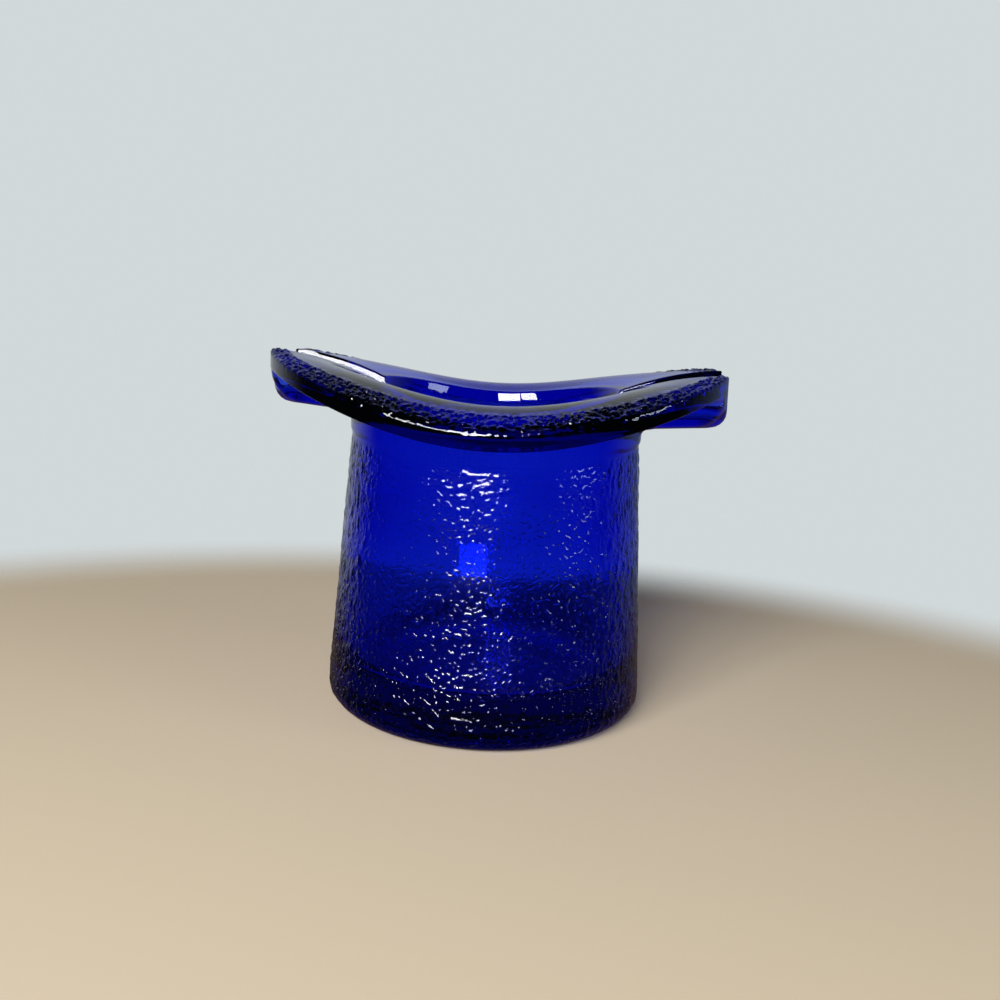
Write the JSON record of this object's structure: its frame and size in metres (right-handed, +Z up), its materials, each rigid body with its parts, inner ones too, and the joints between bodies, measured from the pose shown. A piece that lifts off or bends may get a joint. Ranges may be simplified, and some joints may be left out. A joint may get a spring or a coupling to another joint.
{
  "type": "glass hat holder",
  "caption": "Pressed cobalt-blue glass top hat standing on its closed end, an open cup with a stippled crown and a saddle-shaped brim that has a trough rest at each end.",
  "frame": {"origin": "centre of the hat on the plane of the surface it stands on", "axes": "+Z up out of the opening, +X along the line through the two rests, -Y towards the front"},
  "size_m": [0.0844, 0.076, 0.0652],
  "materials": {
    "cobalt_glass": "clear deep-blue pressed glass, fire-polished, stippled on the crown and pebbled on the brim's margin"
  },
  "bodies": {
    "root": {"base": "cobalt_glass", "crown_wall": "cobalt_glass", "front_brim": "cobalt_glass", "back_brim": "cobalt_glass", "left_rest": "cobalt_glass", "right_rest": "cobalt_glass"}
  },
  "joints": []
}
